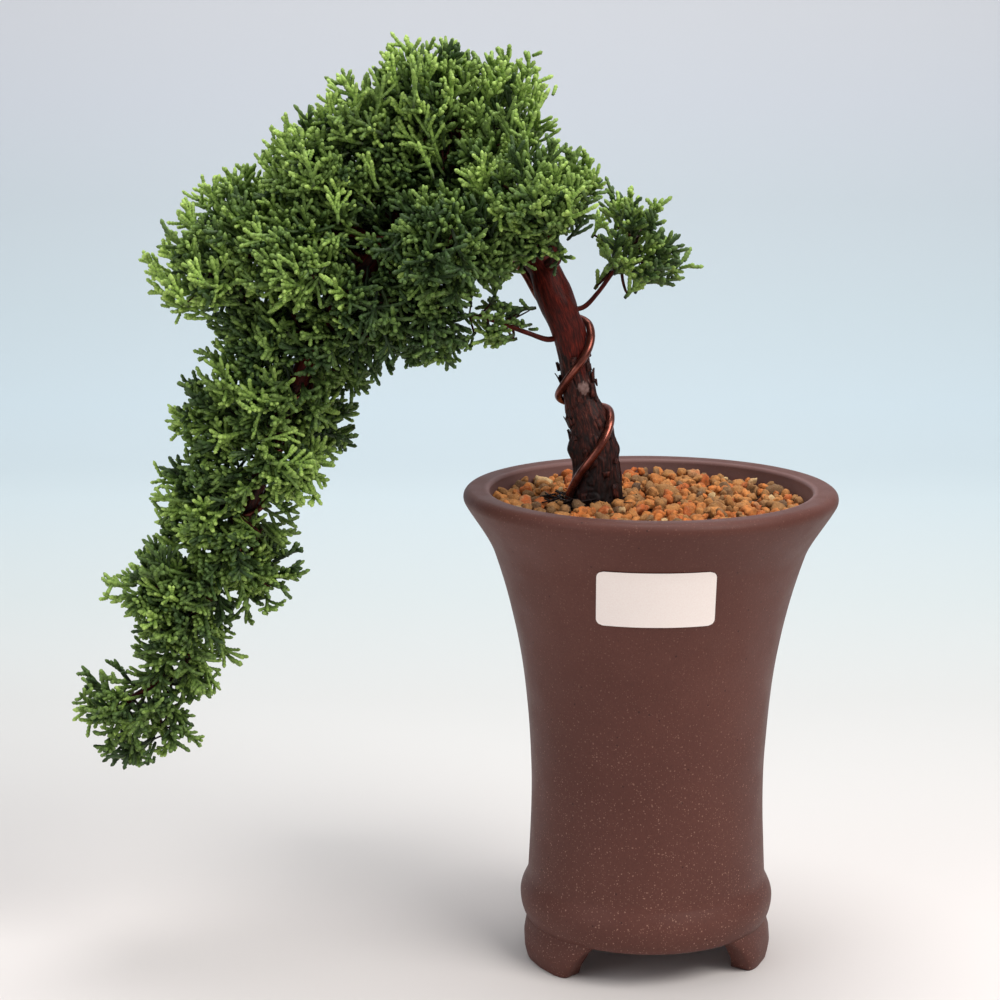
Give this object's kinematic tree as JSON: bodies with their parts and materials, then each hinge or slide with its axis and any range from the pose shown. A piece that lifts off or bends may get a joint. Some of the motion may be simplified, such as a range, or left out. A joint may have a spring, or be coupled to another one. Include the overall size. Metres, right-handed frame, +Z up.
{
  "type": "bonsai tree in a pot",
  "caption": "Semi-cascade juniper bonsai with wired trunk and scale-leaf foliage clumps, planted under a gravel topping in a tall round footed stoneware pot.",
  "frame": {"origin": "centre of the underside of the whole object's box, at the level the pot's feet stand on", "axes": "+Z up along the pot's axis; -Y is the front of the tree and pot, where the sticker is; -X is the side the tree cascades to"},
  "size_m": [0.3394, 0.1628, 0.4045],
  "materials": {
    "pot": "unglazed reddish brown stoneware, matte with a faint sheen and fine pale specks",
    "drain_screen": "dark moulded plastic mesh",
    "screen_clip": "plain soft wire",
    "label": "smooth white sticker, left blank",
    "soil": "moist granular planting soil, matte",
    "gravel_topping": "loose fired-clay grains in orange, tan and grey-brown, matte",
    "bark": "dark flaky bark with smooth red-brown living veins",
    "training_wire": "copper-brown anodised soft wire, satin",
    "foliage": "dense scale-leaf shoots, yellow-green at the tips and dark inside"
  },
  "bodies": {
    "root": {"pot": "pot", "drain_screen": "drain_screen", "screen_clip": "screen_clip", "label": "label", "soil": "soil", "gravel_topping": "gravel_topping", "trunk": "bark", "trunk_wire": "training_wire", "cascade_wire": "training_wire", "branch_front_right": "bark", "branch_right": "bark", "branch_low": "bark", "branch_apex": "bark", "branch_crown_left": "bark", "branch_left": "bark", "branch_upper_left": "bark", "branch_far_left": "bark", "branch_front": "bark", "branch_shoulder": "bark", "branch_lobe_left": "bark", "branch_lobe_back": "bark", "branch_mid_left": "bark", "branch_mid_low": "bark", "branch_low_left": "bark", "branch_tip_shoot": "bark", "branch_back": "bark", "branch_back_left": "bark", "branch_back_low": "bark", "foliage_apex": "foliage", "foliage_crown_right": "foliage", "foliage_crown_left": "foliage", "foliage_crown_core": "foliage", "foliage_upper_left": "foliage", "foliage_left_upper": "foliage", "foliage_left_tip": "foliage", "foliage_left_inner": "foliage", "foliage_front": "foliage", "foliage_under": "foliage", "foliage_right_front": "foliage", "foliage_right_spray": "foliage", "foliage_low_spray": "foliage", "foliage_under_left": "foliage", "foliage_shoulder": "foliage", "foliage_shoulder_low": "foliage", "foliage_lobe_left": "foliage", "foliage_lobe_back": "foliage", "foliage_lobe_right": "foliage", "foliage_mid_left": "foliage", "foliage_mid_low": "foliage", "foliage_low_left": "foliage", "foliage_low_mid": "foliage", "foliage_tip_shoot": "foliage", "foliage_tip_right": "foliage", "foliage_tip_end": "foliage", "foliage_back_crown": "foliage", "foliage_back_left": "foliage", "foliage_back_low": "foliage"}
  },
  "joints": []
}
